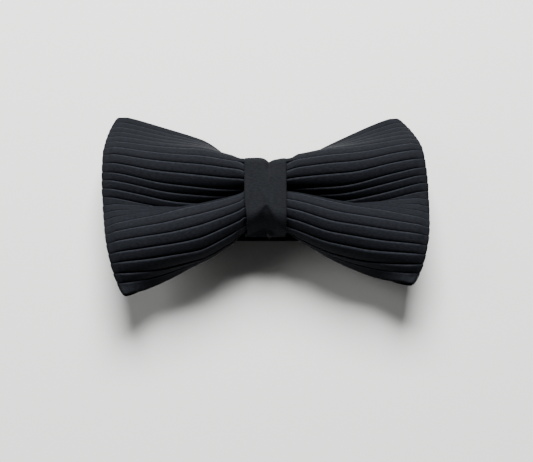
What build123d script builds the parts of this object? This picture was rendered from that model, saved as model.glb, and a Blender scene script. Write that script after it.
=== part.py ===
"""Pre-tied pleated bow tie with its adjustable neck band folded flat behind it.

Frame: +X along the bow's width, +Y from the bow's lower edge to its upper edge, +Z out of
its face.  The origin is at the middle of the bow on the plane that the packed tie lies on.
All sizes are millimetres.
"""

from build123d import *
import os

# ---- bow -------------------------------------------------------------------
BOW_WIDTH = 123.0          # tip to tip
BOW_HEIGHT = 70.0          # at the corners of the wings
EDGE_BULGE = 7.0           # how far the side edge bows out past the corners
WAIST_HEIGHT = 28.0        # the gathered middle, along Y, at its front
WAIST_DEPTH = 15.0         # the gathered middle, along Z
WAIST_ROUND = 4.0          # rounding of its front corners
BACK_ROUND = 0.4           # and of its back ones, which the band just fits between
WAIST_VALLEY = 6.5         # the fold between the two lobes, at the waist
WAIST_EDGE_DROP = 11.0     # how far the upper and lower edges curl back, at the waist
TIP_VALLEY = 1.5           # the same two at the wing tips
TIP_EDGE_DROP = 6.0
TIP_FALL = 1.5             # the crests come this much lower towards the tips
TIP_LEAF = 5.0             # thickness of the pleated loop at the wing tips
EDGE_LEAF = 2.0            # thickness along its upper and lower edges
WING_STATIONS = 7          # sections from the waist to each tip

# ---- knot ------------------------------------------------------------------
KNOT_WIDTH = 16.0          # along X
WRAP_CLOTH = 0.8           # doubled satin
INTERLINING_CLOTH = 0.5
INTERLINING_INSET = 1.5    # the interlining stops this far short of the wrap's edges
THREAD_RADIUS = 0.3        # binding thread
BINDING_TURNS = 10
LAYER_GAP = 0.1            # between cloth layers that lie on each other
BOW_PLAY = 0.2             # knot to the pleats that come out of it

# ---- neck band -------------------------------------------------------------
BAND_WIDTH = 18.0
BAND_CLOTH = 0.5
BAND_CORNER_PLAY = 0.1     # band edge to the rounding inside the knot wrap
FOLD_1_X = 54.0            # where each run of the packed band turns back
FOLD_2_X = -42.0
FOLD_3_X = 51.0
RUN_GAP = 0.5              # between the wrap and the run that lies behind it
FOLD_2_RISE = 2.5          # run 2 to run 3, middle to middle
SEWN_TONGUE = 9.0          # doubled cloth behind a sewn end loop
TONGUE_SLOPE = 3.0         # the stretch in which it comes up to the band

# ---- hardware --------------------------------------------------------------
WIRE_RADIUS = 0.6
WIRE_PLAY = 0.05           # metal to the cloth loop round it
EYE_BAR_X = -47.0
EYE_LENGTH = 10.0          # bar to bar
SIDE_PLAY = 0.6            # band edge to the metal beside it
HOOK_BAR_X = -26.0
HOOK_REACH = 11.0          # from the bar to the tip
HOOK_PLATE = 0.8
HOOK_SHOULDER = 2.0        # full-width part of the hook's plate, and its taper
HOOK_TONGUE_WIDTH = 7.0
HOOK_TONGUE_RETURN = 5.0
SLIDER_X = 42.0
SLIDER_LENGTH = 12.0
SLIDER_RAIL = 1.9
SLIDER_CORNER = 1.2
SIDE_BAR_WIDTH = 2.0
SIDE_BAR_DEPTH = 0.7
CENTRE_BAR_WIDTH = 1.6
CENTRE_BAR_DEPTH = 0.6
FLOOR_PLAY = 0.2           # the slider keeps the band this far off what it lies on

# ---- stitches --------------------------------------------------------------
STITCH_RADIUS = 0.1
STITCH_LENGTH = 2.4
STITCH_PITCH = 1.5
STITCH_MARGIN = 1.0        # last stitch to the cloth's edge
SEAM_Y = 3.0               # where the wrap is closed, behind the knot

# ---- levels, from the surface upwards ---------------------------------------
HALF_CLOTH = BAND_CLOTH / 2
LOOP_RADIUS = WIRE_RADIUS + WIRE_PLAY + HALF_CLOTH      # cloth's middle round a wire
RETURN_Z = FLOOR_PLAY + HALF_CLOTH                      # doubled-back layer of the last run
HOOK_BAR_Z = RETURN_Z + LOOP_RADIUS
RUN_4_Z = HOOK_BAR_Z + LOOP_RADIUS
SIDE_BAR_Z = RUN_4_Z + HALF_CLOTH + WIRE_PLAY           # underside of the slider's side bars
SLIDER_TOP_Z = SIDE_BAR_Z + SIDE_BAR_DEPTH
RUN_3_Z = SLIDER_TOP_Z + RUN_GAP + HALF_CLOTH
RUN_2_Z = RUN_3_Z + FOLD_2_RISE
WRAP_BACK_Z = RUN_2_Z + HALF_CLOTH + RUN_GAP
RUN_1_Z = WRAP_BACK_Z + WRAP_CLOTH + LAYER_GAP + HALF_CLOTH
EYE_TONGUE_Z = RUN_1_Z - BAND_CLOTH - WIRE_PLAY
EYE_BAR_Z = RUN_1_Z - LOOP_RADIUS
INTERLINING_BACK_Z = RUN_1_Z + HALF_CLOTH + LAYER_GAP

# ---- layers round the waist, counted outwards from the pleats ----------------
BINDING_MIDDLE = LAYER_GAP + THREAD_RADIUS
INTERLINING_INSIDE = BINDING_MIDDLE + THREAD_RADIUS + LAYER_GAP
WRAP_INSIDE = INTERLINING_INSIDE + INTERLINING_CLOTH + LAYER_GAP
WAIST_BACK_Z = INTERLINING_BACK_Z + INTERLINING_CLOTH + INTERLINING_INSIDE
WAIST_FRONT_Z = WAIST_BACK_Z + WAIST_DEPTH
WAIST_BACK_HEIGHT = BAND_WIDTH + 2 * (BACK_ROUND + BAND_CORNER_PLAY)


def between(start, end, share):
    """Value that lies the given share of the way from start to end."""
    return start + (end - start) * share


def waist_ring(outset, back=None):
    """Section in the YZ plane, round the waist and the given distance outside it.

    It is a trapezium, narrower behind, with generous front corners and tight back ones.
    """
    back = WAIST_BACK_Z - outset if back is None else back
    front = WAIST_FRONT_Z + outset
    half_front = WAIST_HEIGHT / 2 + outset
    half_back = WAIST_BACK_HEIGHT / 2 + outset
    shape = make_face(Polyline((-half_back, back), (half_back, back), (half_front, front),
                               (-half_front, front), close=True))
    shape = fillet(shape.vertices().group_by(Axis.Y)[0], BACK_ROUND + outset)
    shape = fillet(shape.vertices().group_by(Axis.Y)[-1], WAIST_ROUND + outset)
    return Plane.YZ * shape


def tube_round_waist(width, inside, cloth, inner_back=None):
    """Cloth tube round the waist; inside is its clearance from the pleats."""
    outer_back = None if inner_back is None else inner_back - cloth
    section = waist_ring(inside + cloth, outer_back) - waist_ring(inside, inner_back)
    return extrude(section, width / 2, both=True)


def wing_section(x):
    """Closed section of the pleated loop at x, from the waist to past the wing's corners."""
    start = KNOT_WIDTH / 2
    spread = (abs(x) - start) / (BOW_WIDTH / 2 - EDGE_BULGE - start)
    half = between(WAIST_HEIGHT, BOW_HEIGHT, spread) / 2
    crest = WAIST_FRONT_Z - TIP_FALL * spread
    valley = between(WAIST_VALLEY, TIP_VALLEY, spread)
    edge = crest - between(WAIST_EDGE_DROP, TIP_EDGE_DROP, spread)
    leaf = between(TIP_LEAF, WAIST_DEPTH, (1 - spread) ** 2)
    front = [(half, edge), (half / 2, crest), (0, crest - valley), (-half / 2, crest), (-half, edge)]
    back = [(half, edge - EDGE_LEAF), (half / 2, crest - leaf), (0, crest - leaf - valley * spread),
            (-half / 2, crest - leaf), (-half, edge - EDGE_LEAF)]
    front_curve = Spline(*[(x, y, z) for y, z in front])
    back_curve = Spline(*[(x, y, z) for y, z in back])
    upper = Line(front_curve @ 0, back_curve @ 0)
    lower = Line(front_curve @ 1, back_curve @ 1)
    return Face(Wire([front_curve, lower, back_curve, upper]))


def pleated_bow():
    """The pleated loop as one closed body: M-shaped at the waist, opening flat to the wings."""
    edge = BOW_WIDTH / 2
    wing = BOW_HEIGHT / 2
    start = KNOT_WIDTH / 2
    stations = [between(start, edge + 1, i / (WING_STATIONS - 1)) for i in range(WING_STATIONS)]
    body = loft([wing_section(x) for x in [-x for x in reversed(stations)] + stations])
    radius = (wing**2 + EDGE_BULGE**2) / (2 * EDGE_BULGE)
    outline = Pos(edge - radius, 0) * Circle(radius) & Pos(radius - edge, 0) * Circle(radius)
    body = body & extrude(outline, 2 * WAIST_FRONT_Z)
    inside_knot = extrude(waist_ring(0), start + BOW_PLAY, both=True)
    around = Box(2 * (start + BOW_PLAY), BOW_HEIGHT, 4 * WAIST_FRONT_Z)
    return body - (around - inside_knot)


def binding_thread():
    """Thread wound round the gathered waist, one closed turn beside the next."""
    pitch = 2 * THREAD_RADIUS + LAYER_GAP
    turns = []
    for i in range(BINDING_TURNS):
        path = Pos((i - (BINDING_TURNS - 1) / 2) * pitch, 0, 0) * waist_ring(BINDING_MIDDLE).wire()
        turns.append(sweep(Plane(path @ 0, z_dir=path % 0) * Circle(THREAD_RADIUS), path))
    return Compound(turns)


def band(path):
    """Band cloth carried along a path drawn in the XZ plane."""
    return extrude(Plane.XZ * trace(path, BAND_CLOTH), BAND_WIDTH / 2, both=True)


def straight_run(from_x, to_x, z):
    """A flat stretch of the band."""
    return band(Line((from_x, z), (to_x, z)))


def fold(x, lower_z, upper_z, side):
    """The half-round turn between two runs, bulging to the given side, +1 or -1 along X."""
    middle = (lower_z + upper_z) / 2
    return band(CenterArc((x, middle), (upper_z - lower_z) / 2, -90, 180 * side))


def run_1():
    """Band from the eye's sewn loop, through the back of the knot, to the first fold."""
    slope_end = EYE_BAR_X + TONGUE_SLOPE
    under = EYE_BAR_Z - LOOP_RADIUS
    loop = (
        CenterArc((EYE_BAR_X, EYE_BAR_Z), LOOP_RADIUS, 90, 180)
        + Polyline((EYE_BAR_X, under), (EYE_BAR_X + WIRE_RADIUS, under), (slope_end, EYE_TONGUE_Z),
                   (EYE_BAR_X + SEWN_TONGUE, EYE_TONGUE_Z))
    )
    return straight_run(EYE_BAR_X, FOLD_1_X, RUN_1_Z) + band(loop)


def slider_loop():
    """End of the band, sewn round the slider's centre bar."""
    radius = (CENTRE_BAR_DEPTH + BAND_CLOTH) / 2 + WIRE_PLAY
    bend_x = SLIDER_X + CENTRE_BAR_WIDTH / 2
    flap_x = SLIDER_X - CENTRE_BAR_WIDTH / 2
    tongue_x = SLIDER_X - SEWN_TONGUE
    top_z = RETURN_Z + 2 * radius
    flap_z = RETURN_Z + BAND_CLOTH + WIRE_PLAY
    path = (
        Line((tongue_x, RETURN_Z), (bend_x, RETURN_Z))
        + CenterArc((bend_x, RETURN_Z + radius), radius, -90, 180)
        + Polyline((bend_x, top_z), (flap_x, top_z), (flap_x - TONGUE_SLOPE, flap_z),
                   (tongue_x, flap_z))
    )
    return band(path)


def hook_bend():
    """The band's turn round the hook's bar."""
    return band(CenterArc((HOOK_BAR_X, HOOK_BAR_Z), LOOP_RADIUS, 90, 180))


def eye():
    """Rectangular wire loop that the hook catches in."""
    half = BAND_WIDTH / 2 + SIDE_PLAY + WIRE_RADIUS
    corner = SIDE_PLAY + WIRE_RADIUS
    frame = RectangleRounded(EYE_LENGTH, 2 * half, corner)
    path = Pos(EYE_BAR_X - EYE_LENGTH / 2, 0, EYE_BAR_Z) * frame.wire()
    return sweep(Plane(path @ 0, z_dir=path % 0) * Circle(WIRE_RADIUS), path)


def hook_blank(half, plate_x):
    """Flat part of the hook: full width beside the arms, tapering to the tongue."""
    taper_x = plate_x - HOOK_SHOULDER
    tongue_x = taper_x - HOOK_SHOULDER
    tongue = HOOK_TONGUE_WIDTH / 2
    outline = Polyline((plate_x, half), (plate_x, -half), (taper_x, -half), (tongue_x, -tongue),
                       (tongue_x, tongue), (taper_x, half), close=True)
    return extrude(make_face(outline), HOOK_PLATE)


def hook():
    """Hook: a bar for the band, two arms, and a tongue bent back over itself to catch the eye."""
    half = BAND_WIDTH / 2 + SIDE_PLAY + 2 * WIRE_RADIUS
    plate_x = HOOK_BAR_X - LOOP_RADIUS - HALF_CLOTH - SIDE_PLAY
    tip_x = HOOK_BAR_X - HOOK_REACH
    base = FLOOR_PLAY / 2
    bend = (2 * WIRE_RADIUS + LAYER_GAP + HOOK_PLATE) / 2
    low = base + HOOK_PLATE / 2
    bend_x = tip_x + bend + HOOK_PLATE / 2
    bar = Pos(HOOK_BAR_X, 0, HOOK_BAR_Z) * Rot(90, 0, 0) * Cylinder(WIRE_RADIUS, 2 * half)
    arm = Box(HOOK_BAR_X + WIRE_RADIUS - plate_x, 2 * WIRE_RADIUS, HOOK_BAR_Z + WIRE_RADIUS - base,
              align=(Align.MIN, Align.CENTER, Align.MIN))
    arm_y = half - WIRE_RADIUS
    arms = Pos(plate_x, arm_y, base) * arm + Pos(plate_x, -arm_y, base) * arm
    tongue = (
        Line((plate_x - 2 * HOOK_SHOULDER + LAYER_GAP, low), (bend_x, low))
        + CenterArc((bend_x, low + bend), bend, -90, -180)
        + Line((bend_x, low + 2 * bend), (tip_x + HOOK_TONGUE_RETURN, low + 2 * bend))
    )
    curl = extrude(Plane.XZ * trace(tongue, HOOK_PLATE), HOOK_TONGUE_WIDTH / 2, both=True)
    return bar + arms + Pos(0, 0, base) * hook_blank(half, plate_x) + curl


def slider():
    """Three-bar slide: side bars over the band, and a centre bar between its two layers."""
    rail_y = BAND_WIDTH / 2 + SIDE_PLAY
    frame = extrude(RectangleRounded(SLIDER_LENGTH, 2 * (rail_y + SLIDER_RAIL), SLIDER_CORNER), SLIDER_TOP_Z)
    frame -= extrude(Rectangle(SLIDER_LENGTH + 1, 2 * rail_y), SLIDER_TOP_Z)
    upright = (Align.CENTER, Align.CENTER, Align.MIN)
    side_bar = Box(SIDE_BAR_WIDTH, 2 * rail_y, SIDE_BAR_DEPTH, align=upright)
    centre_bar = Box(CENTRE_BAR_WIDTH, 2 * rail_y, CENTRE_BAR_DEPTH, align=upright)
    side_x = (SLIDER_LENGTH - SIDE_BAR_WIDTH) / 2
    body = frame + Pos(0, 0, RETURN_Z + HALF_CLOTH + WIRE_PLAY) * centre_bar
    for x in (-side_x, side_x):
        body += Pos(x, 0, SIDE_BAR_Z) * side_bar
    return Pos(SLIDER_X, 0, 0) * body


def stitches(length):
    """How far from the middle each stitch of a row of the given length lies."""
    count = int(length / STITCH_PITCH) + 1
    return [(i - (count - 1) / 2) * STITCH_PITCH for i in range(count)]


def tack_across(x, z):
    """Bar tack: short stitches along X, side by side across the band's width."""
    stitch = Rot(0, 90, 0) * Cylinder(STITCH_RADIUS, STITCH_LENGTH)
    return Compound([Pos(x, y, z) * stitch for y in stitches(BAND_WIDTH - 2 * STITCH_MARGIN)])


def knot_seam():
    """Slip stitches that close the wrap behind the knot."""
    stitch = Rot(90, 0, 0) * Cylinder(STITCH_RADIUS, STITCH_LENGTH)
    z = WRAP_BACK_Z - STITCH_RADIUS
    return Compound([Pos(x, SEAM_Y, z) * stitch for x in stitches(KNOT_WIDTH - 2 * STITCH_MARGIN)])


def nodes():
    """Every node's name and shape."""
    tongue = SEWN_TONGUE - TONGUE_SLOPE
    eye_tack_z = EYE_TONGUE_Z - HALF_CLOTH - STITCH_RADIUS
    slider_tack_z = RETURN_Z + BAND_CLOTH + WIRE_PLAY + HALF_CLOTH + STITCH_RADIUS
    return {
        "pleated_bow": pleated_bow(),
        "waist_binding": binding_thread(),
        "knot_interlining": tube_round_waist(KNOT_WIDTH - 2 * INTERLINING_INSET, INTERLINING_INSIDE,
                                             INTERLINING_CLOTH),
        "knot_wrap": tube_round_waist(KNOT_WIDTH, WRAP_INSIDE, WRAP_CLOTH, WRAP_BACK_Z + WRAP_CLOTH),
        "knot_seam_stitches": knot_seam(),
        "band_run_1": run_1(),
        "eye_stitches": tack_across(EYE_BAR_X + SEWN_TONGUE - tongue / 2, eye_tack_z),
        "eye": eye(),
        "band_fold_1": fold(FOLD_1_X, RUN_2_Z, RUN_1_Z, 1),
        "band_run_2": straight_run(FOLD_2_X, FOLD_1_X, RUN_2_Z),
        "band_fold_2": fold(FOLD_2_X, RUN_3_Z, RUN_2_Z, -1),
        "band_run_3": straight_run(FOLD_2_X, FOLD_3_X, RUN_3_Z),
        "band_fold_3": fold(FOLD_3_X, RUN_4_Z, RUN_3_Z, 1),
        "band_run_4": straight_run(HOOK_BAR_X, FOLD_3_X, RUN_4_Z),
        "band_hook_bend": hook_bend(),
        "band_return": straight_run(HOOK_BAR_X, SLIDER_X - SEWN_TONGUE, RETURN_Z),
        "band_slider_loop": slider_loop(),
        "slider_stitches": tack_across(SLIDER_X - SEWN_TONGUE + STITCH_LENGTH, slider_tack_z),
        "slider": slider(),
        "hook": hook(),
    }


os.makedirs("parts", exist_ok=True)
for name, shape in nodes().items():
    export_step(shape, f"parts/{name}.step")
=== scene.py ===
"""Looks of a pre-tied bow tie of knife-pleated satin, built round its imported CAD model.

Lengths in the classes are millimetres in the model's own frame: +X along the bow's width, +Y from its
lower to its upper edge, +Z out of its face, with the origin on the plane that it lies on.
"""

from __future__ import annotations

import logging
import math
from dataclasses import dataclass, field
from enum import Enum

import bpy
import numpy as np
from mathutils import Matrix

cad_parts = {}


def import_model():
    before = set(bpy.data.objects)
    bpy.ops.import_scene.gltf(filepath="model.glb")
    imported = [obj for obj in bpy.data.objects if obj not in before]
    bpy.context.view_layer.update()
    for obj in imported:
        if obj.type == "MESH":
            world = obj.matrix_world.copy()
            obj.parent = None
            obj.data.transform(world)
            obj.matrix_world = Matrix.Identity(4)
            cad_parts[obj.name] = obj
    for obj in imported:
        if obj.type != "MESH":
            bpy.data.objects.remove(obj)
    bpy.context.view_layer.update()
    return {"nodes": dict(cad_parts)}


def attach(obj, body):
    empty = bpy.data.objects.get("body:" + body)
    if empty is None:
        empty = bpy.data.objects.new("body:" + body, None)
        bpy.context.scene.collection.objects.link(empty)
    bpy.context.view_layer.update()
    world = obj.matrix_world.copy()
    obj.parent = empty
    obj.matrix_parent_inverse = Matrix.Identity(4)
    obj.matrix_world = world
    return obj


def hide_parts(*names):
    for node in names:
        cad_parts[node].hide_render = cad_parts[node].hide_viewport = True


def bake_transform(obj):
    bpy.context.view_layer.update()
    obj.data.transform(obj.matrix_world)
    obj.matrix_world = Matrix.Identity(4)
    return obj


LOG = logging.getLogger("bow_tie")
MM = 0.001
Array = np.ndarray
Piece = bpy.types.Object
Tree = bpy.types.NodeTree
PAINTED_FOLD_LIGHT = "pressed"        # mesh attribute of painted light: 1 is a painted highlight on a fold's edge, -1 painted shade in a crevice
SEED = 20260


def smoothstep(low: float, high: float, value: Array) -> Array:
    """Smooth ramp: 0 below low, 1 above high and 3t^2 - 2t^3 between them."""
    t = np.clip((value - low) / (high - low), 0.0, 1.0)
    return t * t * (3.0 - 2.0 * t)


def soft_top(values: Array, blur: float = 0.7, width: float = 3.0) -> Array:
    """Largest value of each row, rounded off so that it changes smoothly from row to row.

    It is the log of the mean of the values' exponentials, right for a peak that fills one part in width
    of its row.

    Args:
        values: one row for each section.
        blur: how far below the largest value the others still count.
        width: parts of the row, one of which the peak fills.

    Returns:
        One value for each row.
    """
    peak = values.max(axis=1)
    return peak + blur * np.log(np.exp((values - peak[:, None]) / blur).mean(axis=1) * width)


def linear_colour(hex_colour: str) -> tuple[float, float, float, float]:
    """Turn an sRGB hex colour such as '#1a1b1f' into linear RGBA."""
    channels = [int(hex_colour[i:i + 2], 16) / 255.0 for i in (1, 3, 5)]
    linear = [c / 12.92 if c <= 0.04045 else ((c + 0.055) / 1.055) ** 2.4 for c in channels]
    return (*linear, 1.0)


# ---- meshes


def grid_faces(rows: int, columns: int, wrap_rows: bool, wrap_columns: bool) -> Array:
    """Corner indices of the quads of a grid, which may close on itself either way.

    Args:
        rows: number of rows of points.
        columns: number of columns of points.
        wrap_rows: join the last row to the first.
        wrap_columns: join the last column to the first.

    Returns:
        One row of four point indices for each quad.
    """
    r = np.arange(rows if wrap_rows else rows - 1)
    c = np.arange(columns if wrap_columns else columns - 1)
    rr, cc = np.meshgrid(r, c, indexing="ij")
    r_next, c_next = (rr + 1) % rows, (cc + 1) % columns
    corners = [rr * columns + cc, rr * columns + c_next, r_next * columns + c_next, r_next * columns + cc]
    return np.stack(corners, axis=-1).reshape(-1, 4)


def closed_tube_faces(rings: int, sides: int) -> list[list[int]]:
    """Faces of a tube with capped ends, facing outwards where its rings turn left-handed about its path.

    Args:
        rings: number of rings along the tube.
        sides: number of points in each ring.

    Returns:
        Point indices of each face, with the two end caps last.
    """
    faces = grid_faces(rings, sides, False, True)[:, ::-1].tolist()
    faces.append(list(range(sides)))
    faces.append(list(range((rings - 1) * sides, rings * sides))[::-1])
    return faces


def running_total(steps: Array) -> Array:
    """Distance covered before each step and after the last one."""
    return np.concatenate(([0.0], np.cumsum(steps)))


def distance_along(path: Array) -> Array:
    """Distance of each point of a path from its start."""
    return running_total(np.linalg.norm(np.diff(path, axis=0), axis=1))


def cloth_uv(first: Array, second: Array) -> Array:
    """Surface coordinates of a grid whose rows follow first and whose columns follow second."""
    return np.stack(np.meshgrid(first, second, indexing="ij"), axis=-1).reshape(-1, 2)


def add_object(name: str, data: bpy.types.ID) -> Piece:
    """New object with the given data, linked into the scene."""
    thing = bpy.data.objects.new(name, data)
    bpy.context.scene.collection.objects.link(thing)
    return thing


def make_piece(name: str, points: Array, faces: list | Array,
               uv: Array | None = None) -> Piece:
    """Make a smooth-shaded mesh object whose points are given in millimetres.

    Args:
        name: the piece's name.
        points: (n, 3) array of points.
        faces: point indices of each face.
        uv: optional (n, 2) surface coordinates of the points, in millimetres.

    Returns:
        The new object, at the origin and linked into the scene.
    """
    mesh = bpy.data.meshes.new(name)
    mesh.from_pydata((points * MM).tolist(), [], faces.tolist() if isinstance(faces, Array) else faces)
    if uv is not None:
        layer = mesh.uv_layers.new(name="cloth")
        loops = np.empty(len(mesh.loops), dtype=np.int64)
        mesh.loops.foreach_get("vertex_index", loops)
        layer.data.foreach_set("uv", uv[loops].astype(np.float32).ravel())
    mesh.polygons.foreach_set("use_smooth", np.ones(len(mesh.polygons), dtype=bool))
    mesh.update()
    return add_object(name, mesh)


def give_thickness(piece: Piece, thickness: float, offset: float = 0.0) -> None:
    """Give a cloth surface its real thickness, in millimetres; offset is Solidify's own."""
    wall = piece.modifiers.new("cloth thickness", "SOLIDIFY")
    wall.thickness = thickness * MM
    wall.offset = offset
    wall.use_even_offset = False


# ---- materials


def add_node(tree: Tree, kind: str, links: dict | None = None, **settings) -> bpy.types.Node:
    """Add a node, set its properties and sockets, and link its inputs.

    Args:
        tree: the material's node tree.
        kind: the node's type.
        links: input name or index to the socket that feeds it.
        settings: properties of the node, or inputs under 'in_' plus their name.

    Returns:
        The new node.
    """
    node = tree.nodes.new(kind)
    for key, value in settings.items():
        if key.startswith("in_"):
            node.inputs[key[3:].replace("_", " ")].default_value = value
        else:
            setattr(node, key, value)
    for key, socket in (links or {}).items():
        tree.links.new(socket, node.inputs[key])
    return node


def remap(tree: Tree, source: bpy.types.Node, low: float, high: float,
          **settings) -> bpy.types.NodeSocket:
    """Map a node's factor onto the range from low to high, and return the result."""
    return add_node(tree, "ShaderNodeMapRange", {"Value": source.outputs["Fac"]}, in_To_Min=low,
                    in_To_Max=high, **settings).outputs["Result"]


def add_relief(tree: Tree, shader: bpy.types.Node, source: bpy.types.Node, strength: float,
               depth: float) -> None:
    """Let a node's factor bump the shader's surface, by depth in millimetres."""
    bump = add_node(tree, "ShaderNodeBump", {"Height": source.outputs["Fac"]}, in_Strength=strength,
                    in_Distance=depth * MM)
    tree.links.new(bump.outputs["Normal"], shader.inputs["Normal"])


def add_tint(tree: Tree, shader: bpy.types.Node, hex_colour: str, tint: bpy.types.NodeSocket) -> None:
    """Give the shader a colour times a tint."""
    colour = add_node(tree, "ShaderNodeVectorMath", {1: tint}, operation="MULTIPLY")
    colour.inputs[0].default_value = linear_colour(hex_colour)[:3]
    tree.links.new(colour.outputs["Vector"], shader.inputs["Base Color"])


def start_material(name: str) -> tuple[bpy.types.Material, Tree, bpy.types.Node]:
    """New material with its node tree and its shader."""
    material = bpy.data.materials.new(name)
    material.use_nodes = True
    tree = material.node_tree
    return material, tree, tree.nodes["Principled BSDF"]


class Weave(Enum):
    """How a cloth's threads lie, as how often its pattern repeats along each axis for one thread."""

    SATIN = (0.3, 1.0, 1.0)        # long floats along one way, hardly any cross grain
    PLAIN = (1.0, 1.0, 1.0)        # threads over and under one another


@dataclass(frozen=True)
class ClothFinish:
    """Woven cloth: threads, weave relief, slight unevenness of the dye and a soft sheen, and where asked a
    painted highlight on fold edges and painted shade in crevices.
    """

    name: str
    face: str                  # colour of the threads on top
    shade: str                 # colour between the threads
    weave: Weave
    thread: float              # spacing of the threads, in millimetres
    roughness: float = 0.66
    specular: float = 0.03
    sheen: float = 0.03
    relief: float = 0.2
    fold_light_and_crevice_shade: float = 0.0        # how much the painted highlight lightens fold edges and the painted shade darkens crevices

    def build(self) -> bpy.types.Material:
        """Build the material; its pattern follows the cloth's own UV map, in millimetres."""
        material, tree, shader = start_material(self.name)
        shader.inputs["Specular IOR Level"].default_value = self.specular
        shader.inputs["Sheen Weight"].default_value = self.sheen
        shader.inputs["Sheen Roughness"].default_value = 0.35
        place = add_node(tree, "ShaderNodeTexCoord").outputs["UV"]
        threads = add_node(tree, "ShaderNodeMapping", {"Vector": place},
                           in_Scale=tuple(s / self.thread for s in self.weave.value)).outputs["Vector"]
        grain = add_node(tree, "ShaderNodeTexNoise", {"Vector": threads}, in_Scale=1.0, in_Detail=3.0,
                         in_Roughness=0.6)
        cloud = add_node(tree, "ShaderNodeTexNoise", {"Vector": place}, in_Scale=0.12, in_Detail=2.0)
        mix = add_node(tree, "ShaderNodeMixRGB", {"Fac": grain.outputs["Fac"]},
                       in_Color1=linear_colour(self.shade), in_Color2=linear_colour(self.face))
        colour = add_node(tree, "ShaderNodeVectorMath", operation="MULTIPLY",
                          links={0: mix.outputs["Color"], 1: remap(tree, cloud, 0.86, 1.12)})
        # Painted light: the mesh attribute lightens fold edges as a painted highlight and darkens crevices
        # as painted shade.
        if self.fold_light_and_crevice_shade:
            pressed = add_node(tree, "ShaderNodeAttribute", attribute_name=PAINTED_FOLD_LIGHT)
            painted_fold_shading = remap(tree, pressed, 1.0 - self.fold_light_and_crevice_shade, 1.0 + self.fold_light_and_crevice_shade, in_From_Min=-1.0)
            colour = add_node(tree, "ShaderNodeVectorMath", operation="MULTIPLY",
                              links={0: colour.outputs["Vector"], 1: painted_fold_shading})
        gloss = remap(tree, grain, self.roughness - 0.06, self.roughness + 0.08)
        add_relief(tree, shader, grain, self.relief, self.thread * 0.3)
        tree.links.new(colour.outputs["Vector"], shader.inputs["Base Color"])
        tree.links.new(gloss, shader.inputs["Roughness"])
        return material


@dataclass(frozen=True)
class ThreadFinish:
    """Spun sewing thread: twisted fibres, dull, with a slight fuzz."""

    name: str
    colour: str
    twist: float = 0.5         # length of one twist, in millimetres

    def build(self) -> bpy.types.Material:
        """Build the material; its twist reads object coordinates."""
        material, tree, shader = start_material(self.name)
        shader.inputs["Sheen Weight"].default_value = 0.1
        place = add_node(tree, "ShaderNodeTexCoord").outputs["Object"]
        twist = add_node(tree, "ShaderNodeTexWave", {"Vector": place}, bands_direction="DIAGONAL",
                         in_Scale=1.0 / (self.twist * 3.18 * MM), in_Distortion=1.0)
        add_tint(tree, shader, self.colour, remap(tree, twist, 0.7, 1.25))
        add_relief(tree, shader, twist, 0.4, 0.05)
        shader.inputs["Roughness"].default_value = 0.75
        return material


@dataclass(frozen=True)
class NickelFinish:
    """Nickel-plated fitting: bright metal with fine handling marks and slightly dull patches."""

    name: str
    colour: str = "#c9c6bf"
    roughness: float = 0.24
    grain: float = 0.4         # width of the polishing marks, in millimetres
    length: float = 8.0        # and their length, in widths
    patch: float = 6.0         # size of the duller patches, in millimetres

    def build(self) -> bpy.types.Material:
        """Build the material; its marks read object coordinates."""
        material, tree, shader = start_material(self.name)
        shader.inputs["Metallic"].default_value = 1.0
        place = add_node(tree, "ShaderNodeTexCoord").outputs["Object"]
        across = 1.0 / (self.grain * MM)
        marks = add_node(tree, "ShaderNodeMapping", {"Vector": place},
                         in_Scale=(across / self.length, across, across))
        fine = add_node(tree, "ShaderNodeTexNoise", {"Vector": marks.outputs["Vector"]}, in_Scale=1.0,
                        in_Detail=4.0)
        patch = add_node(tree, "ShaderNodeTexNoise", {"Vector": place}, in_Scale=1.0 / (self.patch * MM),
                         in_Detail=2.0)
        gloss = remap(tree, patch, self.roughness - 0.08, self.roughness + 0.14)
        tree.links.new(gloss, shader.inputs["Roughness"])
        add_tint(tree, shader, self.colour, remap(tree, fine, 0.85, 1.05))
        add_relief(tree, shader, fine, 0.15, 0.03)
        return material


# ---- knot


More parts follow.
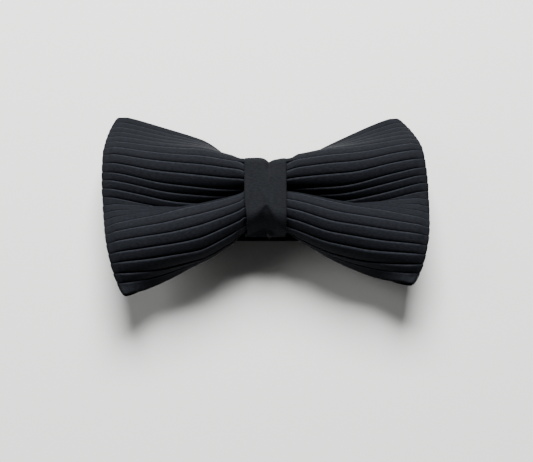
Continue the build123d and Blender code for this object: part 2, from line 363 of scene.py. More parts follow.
@dataclass(frozen=True)
class WaistForm:
    """The gathered waist that the knot's layers lie round: a rounded trapezium, narrower behind."""

    half_front: float = 14.0
    half_back: float = 8.0
    front: float = 25.05
    back: float = 10.05
    upper_round: float = 1.0
    lower_round: float = 4.5
    back_round: float = 0.6
    middle: float = 17.5           # height of the point that the layers are measured from
    upper_lift: float = 1.0        # how far the front's upper and lower edges are moved towards +Y
    lower_lift: float = 0.6

    def outline(self, outset: float, back: float | None = None) -> Array:
        """Section the given distance outside the pleats: arcs at its corners and straight sides.

        Args:
            outset: distance outside the pleats, in millimetres.
            back: height of the section's back, where it isn't simply the outset.

        Returns:
            Array of (y, z) points in order round the section.
        """
        low = self.back - outset if back is None else back
        high = self.front + outset
        wide, narrow = self.half_front + outset, self.half_back + outset
        corners = np.array([(narrow, low), (wide, high), (-wide, high), (-narrow, low)])
        corners[1, 0] += self.upper_lift
        corners[2, 0] += self.lower_lift
        rounds = (self.back_round + outset, self.upper_round + outset,
                  self.lower_round + outset, self.back_round + outset)
        sides = np.roll(corners, -1, axis=0) - corners
        sides /= np.linalg.norm(sides, axis=1)[:, None]
        normals = np.stack([sides[:, 1], -sides[:, 0]], axis=-1)
        points = []
        for i, radius in enumerate(rounds):
            first, second = normals[i - 1], normals[i]
            centre = corners[i] - radius * (first + second) / (1.0 + first @ second)
            start = math.atan2(first[1], first[0])
            turn = (math.atan2(second[1], second[0]) - start) % (2.0 * math.pi)
            angles = start + turn * np.linspace(0.0, 1.0, 16)
            points.append(centre + radius * np.stack([np.cos(angles), np.sin(angles)], axis=-1))
        return np.concatenate(points)

    def reach(self, angle: Array, outset: float, back: float | None = None) -> Array:
        """Distance from the middle to the outline at each angle."""
        loop = self.outline(outset, back)
        loop = np.concatenate([loop, loop[:1]])
        shares = np.linspace(0.0, 1.0, 24, endpoint=False)[None, :, None]
        dense = (loop[:-1, None] * (1.0 - shares) + loop[1:, None] * shares).reshape(-1, 2)
        dense = dense - np.array([0.0, self.middle])
        return np.interp(angle, np.arctan2(dense[:, 1], dense[:, 0]), np.hypot(dense[:, 0], dense[:, 1]),
                         period=2.0 * math.pi)

    def press(self, x: Array, angle: Array) -> Array:
        """How far the knot is pressed in, in millimetres.

        It is the sum of a notch over the upper edge, a hollow below the middle of the face that widens
        and deepens towards the foot, and a shallow fold above it.

        Args:
            x: place across the knot.
            angle: direction from the middle, 0 towards the upper edge and a quarter turn at the front.

        Returns:
            Depth, shaped as the inputs broadcast.
        """
        reach = self.reach(angle, 2.2)
        y, z = reach * np.cos(angle), self.middle + reach * np.sin(angle)
        upper = smoothstep(6.0, 15.0, y) * smoothstep(11.0, 21.0, z)
        deep, wide = np.exp(-np.abs((x - 1.4) / 1.5) ** 1.3), np.exp(-((x - 4.0) / 2.2) ** 2)
        notch = upper * (1.7 * deep + 0.45 * wide)
        down = np.clip((-4.9 - y) / 9.0, 0.0, 1.2)
        centre, width = 0.2 - 1.2 * down, 0.6 + 4.6 * down
        side = (x - centre) / width
        hollow = 3.6 * down ** 0.8 * np.exp(-np.abs(side) ** np.where(side > 0.0, 3.0, 1.7))
        hollow = hollow * smoothstep(8.0, 13.0, z)
        ridge = (x - 0.8 - 0.45 * (-2.0 - y)) / 1.5
        fold = 0.3 * np.exp(-(ridge ** 2)) * smoothstep(3.0, -3.0, y) * smoothstep(-13.0, -6.0, y)
        return notch + hollow - fold * smoothstep(20.0, 24.0, z)

    def layer(self, outset: float, x: Array, angle: Array, back: float | None = None,
              rise: float | Array = 0.0) -> Array:
        """Points of a layer, one row for each angle and one column for each x; rise lifts it further."""
        reach = self.reach(angle, outset, back)[:, None] - self.press(x[None, :], angle[:, None]) + rise
        return np.stack([np.repeat(x[None, :], len(angle), axis=0), reach * np.cos(angle)[:, None],
                         self.middle + reach * np.sin(angle)[:, None]], axis=-1)

    def even_angles(self, count: int, outset: float, back: float | None = None) -> Array:
        """Angles that divide the outline into equal lengths."""
        dense = np.linspace(0.0, 2.0 * math.pi, 2001)
        reach = self.reach(dense, outset, back)
        path = np.stack([reach * np.cos(dense), reach * np.sin(dense)], axis=-1)
        way = distance_along(path)
        return np.interp(np.linspace(0.0, way[-1], count, endpoint=False), way, dense)

    def hold(self, points: Array, half_width: float) -> Array:
        """Pull the pleats that pass through the knot inside its binding."""
        held = points.copy()
        angle = np.arctan2(points[..., 2] - self.middle, points[..., 1])
        away = np.hypot(points[..., 2] - self.middle, points[..., 1])
        mouth = 1.35 * smoothstep(4.0, half_width + 0.5, np.abs(points[..., 0]))
        limit = self.reach(angle, -0.15) + mouth - self.press(points[..., 0], angle)
        inside = 1.0 - smoothstep(half_width - 0.8, half_width + 4.5, np.abs(points[..., 0]))
        pulled = away - np.maximum(away - limit, 0.0) * inside
        held[..., 1] = pulled * np.cos(angle)
        held[..., 2] = self.middle + pulled * np.sin(angle)
        return held


@dataclass
class Knot:
    """The middle of the bow: binding thread, interlining, and the satin wrap with its seam behind."""

    form: WaistForm = WaistForm()
    half_width: float = 8.0
    cloth: float = 0.45
    outset: float = 2.15
    back: float = 7.3
    hem: float = 0.42
    around: int = 260
    across: int = 52
    thread: float = 0.3            # radius of the binding thread
    thread_sides: int = 8
    thread_gap: float = 0.1
    turns: int = 10
    pattern: float = 90.0          # length of the weave's pattern round the wrap
    canvas_outset: float = 1.2
    canvas_half_width: float = 5.8
    canvas: float = 0.35           # thickness of the interlining
    canvas_pattern: float = 80.0
    fibres: int = 7
    fibre_radius: float = 0.06
    fibre_sides: int = 5

    def build_wrap(self) -> Piece:
        """Build the wrap: its ring carried across the knot's width, with turned-in edges.

        The lower part of the face is drawn in, more at its left edge than at its right one.
        """
        angle = self.form.even_angles(self.around, self.outset, self.back)
        inner = np.linspace(-1.0, 1.0, self.across)
        turn = np.linspace(0.0, math.pi * 0.75, 7)[1:]
        edge = self.half_width - self.hem
        rim, drop = edge + self.hem * np.sin(turn), self.hem * (1.0 - np.cos(turn))
        x = np.concatenate([-rim[::-1], edge * inner, rim])
        inset = np.concatenate([drop[::-1], np.zeros(self.across), drop])
        crown = 0.25 * np.cos(np.clip(x / self.half_width, -1.0, 1.0) * math.pi / 2.0)
        points = self.form.layer(self.outset, x, angle, self.back, (crown - inset)[None, :])
        low = smoothstep(1.0, -13.0, points[..., 1]) * smoothstep(12.0, 20.0, points[..., 2])
        points[..., 0] *= 1.0 - low * np.where(points[..., 0] < 0.0, 0.15, 0.02)
        uv = cloth_uv(np.linspace(0.0, self.pattern, self.around), x)[:, ::-1]
        faces = grid_faces(self.around, len(x), True, False)[:, ::-1]
        piece = make_piece("satin_knot_wrap", points.reshape(-1, 3), faces, uv)
        give_thickness(piece, self.cloth, -1.0)
        ring = self.form.layer(self.outset, np.array([0.0]), angle, self.back)[:, 0]
        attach(piece, "bow")
        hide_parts("knot_wrap")
        return piece

    def build_interlining(self) -> Piece:
        """Build the strip of canvas under the wrap."""
        angle = self.form.even_angles(180, self.canvas_outset)
        x = np.linspace(-self.canvas_half_width, self.canvas_half_width, 25)
        points = self.form.layer(self.canvas_outset, x, angle)
        uv = cloth_uv(np.linspace(0.0, self.canvas_pattern, len(angle)), x)[:, ::-1]
        faces = grid_faces(len(angle), len(x), True, False)[:, ::-1]
        piece = make_piece("canvas_interlining", points.reshape(-1, 3), faces, uv)
        give_thickness(piece, self.canvas, -1.0)
        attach(piece, "bow")
        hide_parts("knot_interlining")
        return piece

    def build_binding(self) -> Piece:
        """Build the turns of thread that draw the pleats together, each a closed round tube."""
        angle = self.form.even_angles(150, 0.4)
        pitch = 2.0 * self.thread + self.thread_gap
        tubes, faces = [], []
        for i in range(self.turns):
            x = (i - (self.turns - 1) / 2.0) * pitch
            path = self.form.layer(0.4, np.array([x]), angle)[:, 0]
            tube = tube_round(path, self.thread, self.thread_sides, closed=True)
            faces.append(grid_faces(len(angle), self.thread_sides, True, True) + i * len(tube))
            tubes.append(tube)
        piece = make_piece("waist_binding_thread", np.concatenate(tubes), np.concatenate(faces))
        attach(piece, "bow")
        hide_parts("waist_binding")
        return piece

    def build_frayed_ends(self) -> Piece:
        """Build a few short loose fibres at the foot of the wrap: curved sweeps with random ends."""
        rng = np.random.default_rng(SEED + 5)
        tubes, faces, count = [], [], 0
        t = np.linspace(0.0, 1.0, 9)[:, None]
        for _ in range(self.fibres):
            start = np.array([rng.uniform(-0.6, 4.0), -13.9 + rng.uniform(-0.3, 0.3),
                              rng.uniform(16.5, 20.0)])
            sweep = rng.normal(0.0, 1.0, 3) * (0.9, 0.25, 0.4) + np.array([0.0, -0.9, 0.2])
            path = start + t * sweep + np.sin(t * 5.0) * rng.normal(0.0, 0.25, 3)
            tube = tube_round(path, self.fibre_radius, self.fibre_sides, closed=False)
            tube_faces = closed_tube_faces(len(path), self.fibre_sides)
            faces += [[count + i for i in face[::-1]] for face in tube_faces]
            tubes.append(tube)
            count += len(tube)
        piece = make_piece("frayed_fibres", np.concatenate(tubes), faces)
        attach(piece, "bow")
        return piece


def tube_round(path: Array, radius: float, sides: int, closed: bool) -> Array:
    """Points of a round tube, ring by ring, along a path.

    Args:
        path: (n, 3) points in order.
        radius: the tube's radius.
        sides: points in each ring.
        closed: the path joins its own start.

    Returns:
        (n * sides, 3) array.
    """
    if closed:
        tangent = np.roll(path, -1, axis=0) - np.roll(path, 1, axis=0)
    else:
        tangent = np.gradient(path, axis=0)
    tangent /= np.linalg.norm(tangent, axis=1)[:, None]
    helper = np.array([1.0, 0.0, 0.0]) if abs(tangent[:, 0]).max() < 0.9 else np.array([0.0, 0.0, 1.0])
    first = np.cross(tangent, helper)
    first /= np.linalg.norm(first, axis=1)[:, None]
    second = np.cross(tangent, first)
    angle = np.linspace(0.0, 2.0 * math.pi, sides, endpoint=False)
    ring = first[:, None] * np.cos(angle)[None, :, None] + second[:, None] * np.sin(angle)[None, :, None]
    return (path[:, None] + radius * ring).reshape(-1, 3)


# ---- pleated bow


@dataclass(frozen=True)
class SectionShape:
    """A cross-section, as the slope of its cloth on the way from the upper hem to the lower one.

    shares are places along the cloth, from 0 to 1, and slopes the slope there, in degrees, positive
    where the cloth rises.
    """

    shares: tuple[float, ...]
    slopes: tuple[float, ...]

    def at(self, share: Array) -> Array:
        """Slope in radians at each share."""
        return np.radians(np.interp(share, self.shares, self.slopes))


@dataclass(frozen=True)
class Wing:
    """One wing of the bow: where its corners are and how its section opens towards the tip."""

    side: int                      # -1 is the left wing, +1 the right one
    upper_corner: float            # distance of the tip's corners from the middle, along X
    lower_corner: float
    bulge: float                   # how far the tip bows out past the line between its corners
    tip_middle: float              # height of the tip's middle, along Y
    lift: float                    # how far the wing's middle, half way out, lies above a straight line
    crest: float                   # height of the tip's crest, along Z
    tip: SectionShape
    opening: tuple[float, ...]     # exponent with which each part of the section opens
    cloth_height: float            # pleated cloth's height at the tip, along its surface
    pinch: float                   # how much narrower than its free shape the knot holds the waist


WAIST_SHARES = (0.0, 0.08, 0.19, 0.23, 0.34, 0.38, 0.50, 0.53, 0.65, 0.68, 0.85, 0.89, 0.95, 0.96, 1.0)
WAIST_SLOPES = (112, 110, 108, 25, -30, -84, -86, 86, 84, 25, -42, -106, -112, -112, -112)


@dataclass
class PleatedBow:
    """The pleated loop: a front leaf that folds over at both tips to a back leaf, which meets behind."""

    form: WaistForm
    knot_half: float = 8.0
    waist: SectionShape = SectionShape(WAIST_SHARES, WAIST_SLOPES)
    waist_middle: float = 2.3
    crest_waist: float = 24.0      # height of the front of the pleats' base at the waist
    pleats: int = 23
    fold_height: float = 1.1       # how far a pleat's fold stands off the cloth
    tuck: float = 1.1              # depth of cloth hidden behind each fold
    # places down a pleat's face from its fold, the height there as a share of the fold's, and its painted
    # light: plus for a painted highlight, minus for painted shade
    face: tuple[tuple[float, float, float], ...] = (
        (0.0, 0.97, 1.0), (0.04, 1.05, 1.0), (0.12, 1.05, 0.1), (0.35, 0.99, 0.0), (0.6, 0.88, 0.0),
        (0.78, 0.70, -0.15), (0.87, 0.50, -0.9), (0.95, -0.02, -1.0))
    cloth: float = 0.2             # thickness
    wander: float = 0.0012         # sideways wander of the folds, in shares of the cloth
    tail: float = 0.4              # half the gap between the cloth's two ends, behind the knot
    leaf_half_waist: float = 0.5   # half the gap between the leaves
    leaf_half_middle: float = 1.9
    leaf_half_tip: float = 0.7
    front_columns: int = 44
    back_columns: int = 22
    fold_columns: int = 7
    samples: int = 1201
    wings: tuple[Wing, Wing] = field(default_factory=lambda: (
        Wing(side=-1, upper_corner=59.8, lower_corner=51.8, bulge=6.3, tip_middle=1.2, lift=3.0, crest=23.0,
             pinch=0.15, cloth_height=82.0,
             tip=SectionShape(WAIST_SHARES, (22, 27, 31, 26, 0, -5, -6, 4, 21, 22, -16, -24, -28, 2, 6)),
             opening=(0.35, 0.35, 0.38, 0.45, 0.6, 0.6, 0.6, 1.6, 2.5, 2.5, 1.8, 2.4, 2.5, 2.5, 2.5)),
        Wing(side=1, upper_corner=54.0, lower_corner=54.2, bulge=8.2, tip_middle=3.4, lift=1.3, crest=22.5,
             pinch=0.10, cloth_height=78.5,
             tip=SectionShape(WAIST_SHARES, (26, 32, 36, 30, 0, -6, -8, 4, 20, 20, -14, -28, -32, 6, 10)),
             opening=(0.5, 0.5, 0.52, 0.6, 0.7, 0.8, 0.8, 1.6, 2.5, 2.5, 1.6, 1.8, 1.8, 1.8, 1.8)),
    ))

    def pleat_profile(self, rng: np.random.Generator) -> tuple[Array, ...]:
        """Path of the cloth through all pleats.

        Each pleat's face falls from its fold to the crevice above the next fold, runs on behind it for
        the tuck's depth, turns back and comes out over the next fold.

        Args:
            rng: draws the pleats' uneven widths and heights.

        Returns:
            One value for each point of the path: its share of the section's length, its height off the
            base surface and its distance along the unpleated cloth, both in millimetres, and the painted
            light there, 1 for a painted highlight on a fold's edge and -1 for painted shade in a crevice.
        """
        mean_height = 0.5 * (self.wings[0].cloth_height + self.wings[1].cloth_height)
        widths = 1.0 + 0.05 * rng.standard_normal(self.pleats)
        widths[-1] *= 1.3
        edges = running_total(widths) / widths.sum()
        heights = self.fold_height * (1.0 + 0.10 * rng.standard_normal(self.pleats + 1))
        tuck = self.tuck / mean_height
        # The last list holds each point's painted light: painted highlight on fold edges, painted shade in
        # crevices.
        shares, levels, pressed = [], [], []
        for k in range(self.pleats):
            start, end = edges[k], edges[k + 1]
            high, low = heights[k], 0.10 * heights[k]
            for part, bulge, fold_light_and_crevice_shade in self.face:
                shares.append(start + (end - start) * part)
                levels.append(low + (high - low) * bulge)
                pressed.append(fold_light_and_crevice_shade)
            if k == self.pleats - 1:
                continue
            rise = heights[k + 1]
            # Down in the crevice the cloth gets painted shade, and on the next fold's edge a painted
            # highlight.
            for along, level, fold_light_and_crevice_shade in (
                    (1.0, 0.02, -1.0), (1.12, 0.18, -1.0), (0.9, 0.36, -1.0), (0.05, rise - 0.38, -0.8),
                    (-0.12, rise - 0.24, 0.6), (-0.10, rise - 0.07, 1.0)):
                shares.append(end + along * tuck)
                levels.append(level)
                pressed.append(fold_light_and_crevice_shade)
        share, level = np.array(shares), np.array(levels)
        step = np.hypot(np.diff(share) * mean_height, np.diff(level))
        return share, level, running_total(step), np.array(pressed)

    def base_surface(self, wing: Wing, spread: Array) -> tuple[Array, Array, Array]:
        """Base curves of the wing's sections, before pleating.

        The slope at a share of the cloth goes from the waist's to the tip's as spread to the power of
        the opening there.  Y falls by the slope's cosine and Z rises by its sine along the cloth, so
        the cloth keeps its length in every section.

        Args:
            wing: the wing.
            spread: one value for each section, 0 at the waist and 1 at the tip.

        Returns:
            Slope, Y and Z, each of shape (sections, samples).
        """
        share = np.linspace(0.0, 1.0, self.samples)
        exponent = np.interp(share, self.waist.shares, wing.opening)
        mix = spread[:, None] ** exponent[None, :]
        slope = self.waist.at(share)[None, :] * (1.0 - mix) + wing.tip.at(share)[None, :] * mix
        window = np.hanning(61)
        window /= window.sum()
        padded = np.pad(slope, ((0, 0), (30, 30)), mode="edge")
        slope = np.apply_along_axis(lambda row: np.convolve(row, window, mode="valid"), 1, padded)
        step = wing.cloth_height / (self.samples - 1)
        y = -np.cumsum(np.cos(slope), axis=1) * step
        z = np.cumsum(np.sin(slope), axis=1) * step
        middle = (self.waist_middle + (wing.tip_middle - self.waist_middle) * spread
                  + wing.lift * np.sin(np.pi * spread))
        crest = self.crest_waist + (wing.crest - self.crest_waist) * spread
        y += (middle - 0.5 * (soft_top(y) - soft_top(-y)))[:, None]
        z += (crest - soft_top(z))[:, None]
        pinch = 1.0 - wing.pinch * (1.0 - smoothstep(0.0, 0.35, spread))[:, None]
        y = middle[:, None] + (y - middle[:, None]) * pinch
        return slope, y, z

    def wing_points(self, wing: Wing, share: Array, level: Array, spread: Array,
                    turn: Array, drift: Array) -> Array:
        """Points of a wing's cloth.

        A point stands off the base curve by half the gap between the leaves plus its pleat's height.
        That offset points along the base's normal times the cosine of turn, and out along X times its
        sine, so turn 0 is the front leaf, 180 degrees the back leaf, and the way between them the fold
        over the tip.

        Args:
            wing: the wing.
            share: place of each point of the pleat path along the section.
            level: its height off the base.
            spread: place of each column along the wing.
            turn: each column's turn about the tip, in radians.
            drift: sideways wander of each pleat point along the wing, in shares, (columns, points).

        Returns:
            Array of shape (columns, points, 3).
        """
        slope, y, z = self.base_surface(wing, spread)
        place = np.clip(share[None, :] + drift, 0.0, 1.0) * (self.samples - 1)
        low = np.minimum(place.astype(int), self.samples - 2)
        rest = place - low
        column = np.arange(len(spread))[:, None]

        def pick(values: Array) -> Array:
            """Value of each base curve at each point's place."""
            return values[column, low] * (1.0 - rest) + values[column, low + 1] * rest

        slopes, ys, zs = pick(slope), pick(y), pick(z)
        half_gap = (self.leaf_half_waist + (self.leaf_half_tip - self.leaf_half_waist) * spread
                    + (self.leaf_half_middle - self.leaf_half_tip) * np.sin(np.pi * spread) ** 0.8)
        flatten = 1.0 - 0.6 * smoothstep(0.93, 1.0, spread)
        offset = half_gap[:, None] + level[None, :] * flatten[:, None]
        along_normal = offset * np.cos(turn)[:, None]
        edge_share = share[None, :]
        tip_x = (wing.upper_corner + (wing.lower_corner - wing.upper_corner) * edge_share
                 + wing.bulge * (4.0 * edge_share * (1.0 - edge_share)) ** 0.7) - self.leaf_half_tip
        x = self.knot_half + (tip_x - self.knot_half) * spread[:, None] + offset * np.sin(turn)[:, None]
        ys = ys + np.sin(slopes) * along_normal
        zs = zs + np.cos(slopes) * along_normal
        return np.stack([wing.side * x, ys, zs], axis=-1)

    def build(self) -> Piece:
        """Build the loop as one sheet: back, left tip, front, right tip and back again."""
        rng = np.random.default_rng(SEED)
        share, level, cloth_way, fold_light_and_crevice_shade = self.pleat_profile(rng)
        phases = rng.uniform(0.0, 2.0 * math.pi, (2, 3, 1))
        columns, fades = [], []
        for index, wing in enumerate(self.wings):
            ends = np.linspace(0.0, 1.0, self.back_columns)
            back = 1.0 - (1.0 - ends) ** 1.4
            fold = np.linspace(0.0, math.pi, self.fold_columns + 2)[1:-1]
            near = np.linspace(0.0, 1.0, self.front_columns)
            front = 0.5 * (near + 1.0 - (1.0 - near) ** 1.6)
            spread = np.concatenate([back, np.ones(self.fold_columns), front[::-1]])
            turn = np.concatenate([np.full(self.back_columns, math.pi), fold[::-1],
                                   np.zeros(self.front_columns)])
            rows = share[:, None]
            waves = sum(np.sin(spread * (5.0 + 4.0 * n) + phases[index, n] + rows * (9.0 + 7.0 * n))
                        for n in range(3)).T
            drift = self.wander * waves * np.sin(np.pi * spread)[:, None]
            columns.append(self.wing_points(wing, share, level, spread, turn, drift))
            fades.append(1.0 - 0.75 * smoothstep(0.93, 0.99, spread))
        left, right = columns[0], columns[1][::-1]
        inner = np.stack([left[-1] * (1.0 - t) + right[0] * t for t in (0.25, 0.5, 0.75)])
        tails = np.concatenate([left[:1], right[-1:]])
        tails[..., 0] = [[-self.tail], [self.tail]]
        sheet = np.concatenate([tails[:1], left, inner, right, tails[1:]])
        across = np.linalg.norm(np.diff(sheet, axis=0), axis=2).mean(axis=1)
        along = running_total(across)
        uv = cloth_uv(along, cloth_way)
        fade = np.concatenate([[1.0], fades[0], np.ones(len(inner)), fades[1][::-1], [1.0]])
        faces = grid_faces(*sheet.shape[:2], False, False)
        sheet = self.form.hold(sheet, self.knot_half)
        piece = make_piece("pleated_satin_bow", sheet.reshape(-1, 3), faces, uv)
        # Store the painted light for each point: painted highlight on fold edges and painted shade in
        # crevices, faded out towards the tips.
        attribute = piece.data.attributes.new(PAINTED_FOLD_LIGHT, "FLOAT", "POINT")
        attribute.data.foreach_set("value", (fade[:, None] * fold_light_and_crevice_shade[None, :]).astype(np.float32).ravel())
        give_thickness(piece, self.cloth)
        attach(piece, "bow")
        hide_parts("pleated_bow")
        LOG.info("bow: sheet %.0f by %.0f mm, %d points", cloth_way[-1], along[-1], len(uv))
        return piece


# ---- neck band


@dataclass(frozen=True)
class BandLevels:
    """Heights of the folded band's layers and the places of its turns, in millimetres."""

    run_1: float = 8.4
    run_2: float = 6.5
    run_3: float = 4.0
    run_4: float = 2.25
    back: float = 0.45             # the layer that comes back from the hook to the slider
    fold_1: float = 54.0
    fold_2: float = -42.0
    fold_3: float = 51.0
    eye_bar: float = -47.0
    hook_bar: float = -26.0
    slider: float = 42.0
    tongue: float = 9.0            # doubled cloth behind a sewn end loop
    slope: float = 3.0             # and the stretch in which it comes up to the band
    wire_lead: float = 0.6         # level stretch before the turn round the eye's bar
    bar_half: float = 0.8          # half the width of the slider's centre bar
    wire_turn: float = 0.9         # middle of the cloth round a wire
    bar_turn: float = 0.6          # and round the slider's centre bar
    doubled: float = 0.55          # from one layer to the next in a sewn end


def arc(x: float, z: float, radius: float, start: float, turn: float, step: float = 0.16) -> Array:
    """Points of an arc in the XZ plane; angles in degrees from +X towards +Z."""
    count = max(6, int(abs(math.radians(turn)) * radius / step) + 1)
    angle = np.radians(start + turn * np.linspace(0.0, 1.0, count))
    return np.stack([x + radius * np.cos(angle), z + radius * np.sin(angle)], axis=-1)


def line(*stops: tuple[float, float], step: float = 0.6) -> Array:
    """Points of a chain of straight stretches in the XZ plane."""
    parts = []
    for first, second in zip(stops[:-1], stops[1:]):
        first, second = np.array(first), np.array(second)
        count = max(2, int(np.linalg.norm(second - first) / step) + 1)
        share = np.linspace(0.0, 1.0, count)[:, None]
        parts.append(first + (second - first) * share)
    return np.concatenate(parts)


@dataclass
class NeckBand:
    """The band: a tube of satin pressed flat, stitched along both edges, folded behind the bow."""

    levels: BandLevels = BandLevels()
    half_width: float = 9.0
    half_cloth: float = 0.24
    edge_round: float = 0.2
    stitch_inset: float = 1.5      # row of stitches to the edge
    stitch_pitch: float = 2.4
    groove: float = 0.07           # depth of a stitch row
    stitched: float = 3.0          # width along each edge in which the section's points lie closer

    def section(self) -> tuple[Array, Array]:
        """Closed section of the band: y and height, in order round it.

        It is a flat oblong with round edges, slightly fuller in its middle than at its rows of stitches.
        """
        flat = self.half_width - self.edge_round
        inner = flat - self.stitched
        y = np.concatenate([np.linspace(-flat, -inner, 11), np.linspace(-inner, inner, 9)[1:-1],
                            np.linspace(inner, flat, 11)])
        edge = np.radians(np.linspace(80.0, -80.0, 7))
        top = np.stack([y, np.full_like(y, self.half_cloth)], axis=-1)
        right = np.stack([flat + self.edge_round * np.cos(edge), self.half_cloth * np.sin(edge)], axis=-1)
        bottom = top[::-1] * (1.0, -1.0)
        loop = np.concatenate([top, right, bottom, -right])
        return loop[:, 0], loop[:, 1]

    def strip(self, name: str, path: Array, start_way: float) -> tuple[Piece, float]:
        """Make one closed stretch of the band.

        The cloth's height is pressed in along two rows of stitches, between whose holes it puffs up
        with the row's own pitch.

        Args:
            name: the piece's name.
            path: (n, 2) points of the cloth's middle in the XZ plane.
            start_way: the band's length before this stretch, which its pattern continues from.

        Returns:
            The piece and the stretch's length in millimetres.
        """
        keep = np.concatenate(([True], np.linalg.norm(np.diff(path, axis=0), axis=1) > 1e-6))
        path = path[keep]
        tangent = np.gradient(path, axis=0)
        tangent /= np.linalg.norm(tangent, axis=1)[:, None]
        normal = np.stack([-tangent[:, 1], tangent[:, 0]], axis=-1)
        way = distance_along(path)
        y, height = self.section()
        row = np.exp(-((np.abs(y) - (self.half_width - self.stitch_inset)) / 0.35) ** 2)
        hole = 0.55 + 0.45 * np.cos(2.0 * math.pi * (way + start_way) / self.stitch_pitch)
        press = self.groove * row[None, :] * hole[:, None]
        lift = np.sign(height)[None, :] * (np.abs(height)[None, :] - press)
        points = np.stack([path[:, :1] + normal[:, :1] * lift, np.repeat(y[None, :], len(path), axis=0),
                           path[:, 1:] + normal[:, 1:] * lift], axis=-1)
        faces = closed_tube_faces(len(path), len(y))
        piece = make_piece(name, points.reshape(-1, 3), faces, cloth_uv(way + start_way, y))
        return piece, float(way[-1])

    def build(self) -> list[Piece]:
        """Build the band's stretches in order, from the eye to the slider."""
        at = self.levels
        half = at.wire_turn
        under = at.run_1 - 2.0 * half
        tongue = at.run_1 - at.doubled
        eye_loop = np.concatenate([
            line((at.eye_bar + at.tongue, tongue), (at.eye_bar + at.slope, tongue),
                 (at.eye_bar + at.wire_lead, under), (at.eye_bar, under)),
            arc(at.eye_bar, at.run_1 - half, half, -90.0, -180.0)[1:],
            line((at.eye_bar, at.run_1), (at.fold_1, at.run_1))[1:]])
        bar_x = at.slider + at.bar_half
        slider_loop = np.concatenate([
            line((at.slider - at.tongue, at.back), (bar_x, at.back)),
            arc(bar_x, at.back + at.bar_turn, at.bar_turn, -90.0, 180.0)[1:],
            line((bar_x, at.back + 2 * at.bar_turn), (at.slider - at.bar_half, at.back + 2 * at.bar_turn),
                 (at.slider - at.bar_half - at.slope, at.back + at.doubled),
                 (at.slider - at.tongue, at.back + at.doubled))[1:]])

        def turn(x: float, upper: float, lower: float, angle: float) -> Array:
            """Half circle from one layer down to the next."""
            return arc(x, 0.5 * (upper + lower), 0.5 * (upper - lower), 90.0, angle)

        def run(start: float, end: float, height: float) -> Array:
            """Straight stretch at one height."""
            return line((start, height), (end, height))

        # name, path, the CAD node it stands for, its body, and the body it blends into
        stretches = [
            ("band_with_eye_loop", eye_loop, "band_run_1", "bow", None),
            ("band_turn_1", turn(at.fold_1, at.run_1, at.run_2, -180.0), "band_fold_1", "bow", "band_2"),
            ("band_second_layer", run(at.fold_1, at.fold_2, at.run_2), "band_run_2", "band_2", None),
            ("band_turn_2", turn(at.fold_2, at.run_2, at.run_3, 180.0), "band_fold_2", "band_2", "band_3"),
            ("band_third_layer", run(at.fold_2, at.fold_3, at.run_3), "band_run_3", "band_3", None),
            ("band_turn_3", turn(at.fold_3, at.run_3, at.run_4, -180.0), "band_fold_3", "band_3", "band_4"),
            ("band_fourth_layer", run(at.fold_3, at.hook_bar, at.run_4), "band_run_4",
             "band_4", "hook_end"),
            ("band_hook_turn", turn(at.hook_bar, at.run_4, at.back, 180.0), "band_hook_bend",
             "hook_end", None),
            ("band_return_layer", run(at.hook_bar, at.slider - at.tongue, at.back), "band_return",
             "hook_end", "slider"),
            ("band_slider_end", slider_loop, "band_slider_loop", "slider", None),
        ]
        pieces, way = [], 0.0
        for name, path, node, body, other in stretches:
            piece, length = self.strip(name, path, way)
            way += length
            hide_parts(node)
            if other is None:
                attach(piece, body)
            else:
                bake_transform(piece)
            pieces.append(piece)
        LOG.info("band: %.0f mm long", way)
        return pieces


# ---- studio


@dataclass
class Studio:
    """Pale floor, soft light and the camera."""

    floor_colour: str = "#e9e9e7"
    camera_place: tuple[float, float, float] = (-0.9, -145.6, 363.5)
    elevation: float = 68.8        # the camera looks down this steeply
    lens: float = 65.85
    shift: float = 0.0066

    def build(self) -> None:
        """Make the floor, the lights and the camera."""
        self.build_floor()
        self.build_lights()
        self.build_camera()

    def build_floor(self) -> None:
        """A large floor of painted board: dull and even, so that it only takes the bow's shadow."""
        size = 3000.0
        corners = np.array([(-size, -size, 0.0), (size, -size, 0.0), (size, size, 0.0), (-size, size, 0.0)])
        floor = make_piece("floor", corners, [(0, 1, 2, 3)])
        material, _, shader = start_material("pale painted board")
        shader.inputs["Base Color"].default_value = linear_colour(self.floor_colour)
        shader.inputs["Roughness"].default_value = 0.7
        floor.data.materials.append(material)

    def add_light(self, name: str, place: tuple[float, float, float], size: float, power: float) -> None:
        """Add a square area light that faces the bow.

        Args:
            name: the light's name.
            place: where it stands, in millimetres.
            size: its side, in millimetres.
            power: its power in watts.
        """
        data = bpy.data.lights.new(name, "AREA")
        data.size = size * MM
        data.energy = power
        light = add_object(name, data)
        light.location = [c * MM for c in place]
        aim = -light.location.normalized()
        light.rotation_euler = aim.to_track_quat("-Z", "Y").to_euler()

    def build_lights(self) -> None:
        """A broad light above and behind, a weaker one at the left, and a pale surround."""
        self.add_light("overhead light", (0.0, 690.0, 770.0), 600.0, 39.0)
        self.add_light("left light", (-800.0, 100.0, 600.0), 500.0, 3.0)
        world = bpy.data.worlds.new("studio surround")
        world.use_nodes = True
        world.node_tree.nodes["Background"].inputs["Color"].default_value = (1.0, 1.0, 1.0, 1.0)
        world.node_tree.nodes["Background"].inputs["Strength"].default_value = 0.06
        bpy.context.scene.world = world

    def build_camera(self) -> None:
        """Camera above the lower edge, looking down and away."""
        data = bpy.data.cameras.new("camera")
        data.lens = self.lens
        data.shift_x = self.shift
        data.clip_start = 0.01
        camera = add_object("camera", data)
        camera.location = [c * MM for c in self.camera_place]
        camera.rotation_euler = (math.radians(90.0 - self.elevation), 0.0, 0.0)
        bpy.context.scene.camera = camera
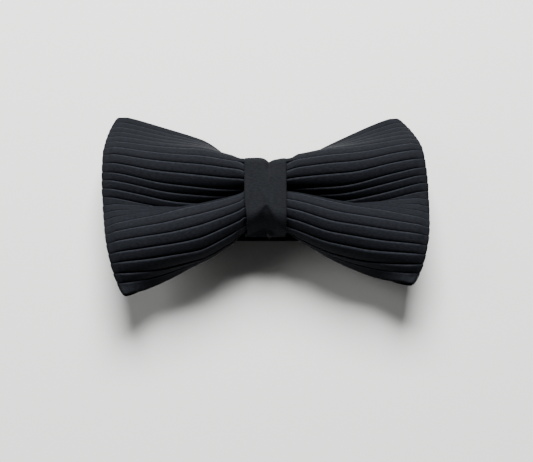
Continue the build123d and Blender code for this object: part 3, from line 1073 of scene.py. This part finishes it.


# ---- main


# Woven satin of polyester: long floats give a deep black with a low, broad gloss; its folds get a painted
# highlight along their edges and painted shade in their crevices.  Its threads are drawn coarser than the
# real 0.1 mm, to show.
SATIN = ClothFinish("black satin, knife-pleated", "#202227", "#020203", Weave.SATIN, thread=0.45,
                    fold_light_and_crevice_shade=1.0)
# Woven satin, doubled over the knot and not pressed: only its drape makes it lighter or darker.
KNOT_SATIN = ClothFinish("black satin, knot", "#212327", "#020203", Weave.SATIN, thread=0.45)
# Woven satin, sewn to a tube and pressed flat: an even, darker black with hardly any grain.
BAND_SATIN = ClothFinish("black satin, neck band", "#0f1013", "#08080a", Weave.SATIN, thread=0.4)
# Woven undyed canvas: dull and warm, with threads over and under.
CANVAS = ClothFinish("woven interlining", "#bdb8a9", "#8f8a7c", Weave.PLAIN, thread=0.5, sheen=0.1)
# Twisted thread, waxed for the binding and spun for the seams: dull, with a fine slant.
BINDING = ThreadFinish("waxed polyester thread", "#1a1a1d")
SEWING = ThreadFinish("spun polyester thread", "#19191c", twist=0.3)
# Nickel plated on pressed steel: a warm white shine, broken by fine polishing marks and duller patches.
NICKEL = NickelFinish("nickel plate, fittings")


def dress(node: Piece, material: bpy.types.Material) -> None:
    """Give a piece or a CAD node one material in all its slots."""
    if not node.material_slots:
        node.data.materials.append(material)
    for slot in node.material_slots:
        slot.material = material


def main() -> None:
    """Build every piece round the frame."""
    logging.basicConfig(level=logging.INFO, format="%(name)s: %(message)s")
    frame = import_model()
    nodes = frame["nodes"]
    form = WaistForm()
    knot = Knot(form)
    dress(PleatedBow(form).build(), SATIN.build())
    dress(knot.build_wrap(), KNOT_SATIN.build())
    dress(knot.build_interlining(), CANVAS.build())
    dress(knot.build_binding(), BINDING.build())
    sewing, nickel, band_satin = SEWING.build(), NICKEL.build(), BAND_SATIN.build()
    dress(knot.build_frayed_ends(), sewing)
    for piece in NeckBand().build():
        dress(piece, band_satin)
    for name, node in nodes.items():
        if name in ("eye", "hook", "slider"):
            dress(node, nickel)
        elif name.endswith("stitches"):
            dress(node, sewing)
    Studio().build()


if __name__ == "__main__":
    main()
